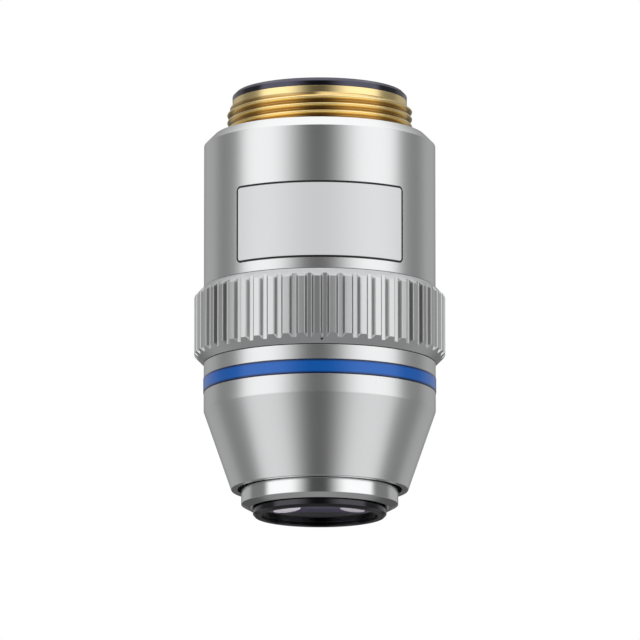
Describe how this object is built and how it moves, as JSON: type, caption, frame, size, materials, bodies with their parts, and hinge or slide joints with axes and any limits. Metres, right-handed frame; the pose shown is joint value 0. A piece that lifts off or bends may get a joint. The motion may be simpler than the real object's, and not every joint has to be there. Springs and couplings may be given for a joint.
{
  "type": "microscope objective lens",
  "caption": "Screw-threaded objective lens barrel with a fluted correction collar, a coloured band, a tapered nose and a spring-loaded front lens cell.",
  "frame": {"origin": "on the optical axis, in the plane of the shoulder that meets the instrument, where the thread starts", "axes": "+Z along the optical axis towards the thread; -Z towards the front lens; the name field faces -Y"},
  "size_m": [0.0274, 0.0274, 0.0471],
  "materials": {
    "satin_chrome": "satin, fine turned",
    "bright_chrome": "bright, fine turned",
    "turned_brass": "turned",
    "black_anodised": "satin black anodised",
    "blue_enamel": "enamel in a groove",
    "name_field": "matte, dark rim",
    "coated_glass": "anti-reflection coated",
    "optical_glass": "polished",
    "spring_steel": "drawn wire",
    "pin_steel": "ground"
  },
  "bodies": {
    "root": {"main_barrel": "turned_brass", "rear_ring": "black_anodised", "upper_sleeve": "satin_chrome", "name_field": "name_field", "lower_sleeve": "satin_chrome", "colour_band": "blue_enamel", "nose_guide_pin": "pin_steel", "return_spring": "spring_steel"},
    "collar": {"fluted_collar": "satin_chrome"},
    "nose": {"nose_barrel": "bright_chrome", "cam_lock_ring": "turned_brass", "front_cell": "black_anodised", "front_lens": "coated_glass", "second_lens": "optical_glass", "front_lock_ring": "black_anodised", "aperture_stop": "black_anodised", "rear_spacer": "black_anodised", "rear_flint_lens": "optical_glass", "rear_crown_lens": "coated_glass", "rear_lock_ring": "black_anodised"},
    "cam": {"cam_ring": "turned_brass", "drive_pin": "pin_steel"},
    "correction_group": {"correction_cell": "black_anodised", "correction_flint_lens": "optical_glass", "correction_crown_lens": "optical_glass", "correction_lock_ring": "black_anodised", "follower_pin": "pin_steel"}
  },
  "joints": [
    {"name": "collar_turn", "type": "hinge", "parent": "root", "child": "collar", "pos_m": [0, 0, -0.02115], "axis": [0, 0, 1], "range_deg": [-60, 60]},
    {"name": "nose_press", "type": "slide", "parent": "root", "child": "nose", "axis": [0, 0, 1], "range_m": [0, 0.002], "stiffness_N_per_m": 300, "springref_m": -0.008, "deforming": ["return_spring"]},
    {"name": "cam_turn", "type": "hinge", "parent": "nose", "child": "cam", "pos_m": [0, 0, -0.02195], "axis": [0, 0, 1], "range_deg": [-60, 60]},
    {"name": "correction_slide", "type": "slide", "parent": "nose", "child": "correction_group", "axis": [0, 0, 1], "range_m": [-0.0006, 0.0006]}
  ],
  "couplings": [
    {"joint": "cam_turn", "follows": "collar_turn", "ratio": 1},
    {"joint": "correction_slide", "follows": "collar_turn", "m_per_rad": -0.00057295}
  ]
}
